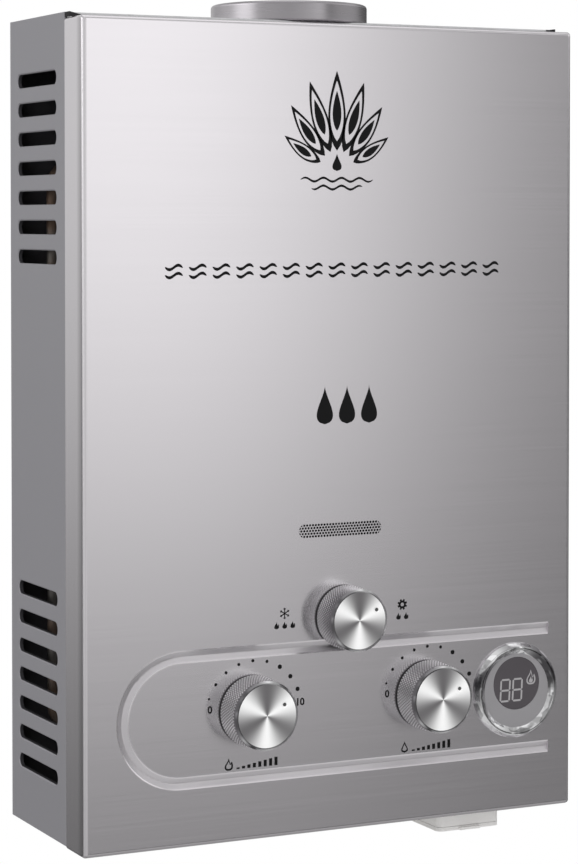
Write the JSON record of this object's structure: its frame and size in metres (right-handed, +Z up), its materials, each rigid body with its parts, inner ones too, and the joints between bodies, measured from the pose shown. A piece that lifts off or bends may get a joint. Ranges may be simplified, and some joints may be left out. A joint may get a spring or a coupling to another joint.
{
  "type": "wall-hung gas water heater",
  "caption": "Wall-hung tankless gas water heater: brushed front cover with turning knobs and a round display, louvred grey case, flue spigot on top, threaded pipes and a battery box below.",
  "frame": {"origin": "middle of the four wall-screw holes, on the wall plane", "axes": "+Z up, front faces -Y, +X to the right seen from the front"},
  "size_m": [0.406, 0.1768, 0.641],
  "materials": {
    "case_paint": "grey baked paint, satin",
    "brushed_cover": "stainless sheet, brushed",
    "collar_steel": "spun steel, satin",
    "zinc_steel": "zinc-plated sheet",
    "chrome_trim": "polished chrome",
    "knob_chrome": "plated, knurled skirt",
    "spun_cap": "spun disc",
    "dial_grey": "silver-grey moulding",
    "smoked_lens": "smoked lens",
    "black_plastic": "moulded",
    "board_green": "circuit board",
    "cream_plastic": "moulded",
    "copper": "copper, lightly tinned",
    "brass": "turned brass",
    "cast_alloy": "die-cast",
    "ceramic": "white ceramic"
  },
  "bodies": {
    "heater": {"rear_case": "case_paint", "top_panel": "case_paint", "bottom_panel": "case_paint", "hanger_upper": "zinc_steel", "hanger_lower": "zinc_steel", "front_cover": "brushed_cover", "sight_screen": "brushed_cover", "display_bezel": "chrome_trim", "display_face": "dial_grey", "display_lens": "smoked_lens", "display_housing": "black_plastic", "display_board": "board_green", "flue_collar": "collar_steel", "draught_hood": "zinc_steel", "exchanger_shell": "copper", "exchanger_fins": "copper", "exchanger_tube": "copper", "combustion_chamber": "copper", "chamber_bracket": "zinc_steel", "overheat_switch": "black_plastic", "ignition_electrode": "ceramic", "flame_sensor": "ceramic", "burner_frame": "zinc_steel", "burner_bars": "zinc_steel", "gas_manifold": "cast_alloy", "gas_nozzles": "brass", "season_valve": "cast_alloy", "gas_risers": "cast_alloy", "gas_link_pipe": "cast_alloy", "gas_valve": "cast_alloy", "solenoid_valve": "black_plastic", "water_valve": "brass", "diaphragm_cover": "brass", "link_bracket": "zinc_steel", "micro_switch": "black_plastic", "drain_plug": "brass", "cold_pipe": "copper", "hot_pipe": "copper", "gas_inlet": "brass", "cold_inlet": "brass", "hot_outlet": "brass", "igniter_box": "black_plastic", "battery_box": "cream_plastic", "battery_pin": "zinc_steel", "battery_contacts": "zinc_steel"},
    "gas_control": {"gas_knob": "knob_chrome", "gas_knob_cap": "spun_cap", "gas_spindle": "brass"},
    "water_control": {"water_knob": "knob_chrome", "water_knob_cap": "spun_cap", "water_spindle": "brass"},
    "season_control": {"season_knob": "knob_chrome", "season_knob_cap": "spun_cap", "season_spindle": "brass"},
    "valve_rod": {"push_rod": "brass"},
    "battery_door": {"battery_lid": "cream_plastic"}
  },
  "joints": [
    {"name": "gas_knob_turn", "type": "hinge", "parent": "heater", "child": "gas_control", "pos_m": [-0.071, -0.15, -0.207], "axis": [0, -1, 0], "range_deg": [-27, 153]},
    {"name": "water_knob_turn", "type": "hinge", "parent": "heater", "child": "water_control", "pos_m": [0.075, -0.15, -0.207], "axis": [0, -1, 0], "range_deg": [-27, 153]},
    {"name": "season_knob_turn", "type": "hinge", "parent": "heater", "child": "season_control", "pos_m": [0.005, -0.15, -0.143], "axis": [0, -1, 0], "range_deg": [-27, 153]},
    {"name": "push_rod_slide", "type": "slide", "parent": "heater", "child": "valve_rod", "axis": [-1, 0, 0], "range_m": [0, 0.004], "stiffness_N_per_m": 500},
    {"name": "battery_lid_open", "type": "hinge", "parent": "heater", "child": "battery_door", "pos_m": [0.134, -0.0335, -0.322], "axis": [1, 0, 0], "range_deg": [0, 95]}
  ]
}
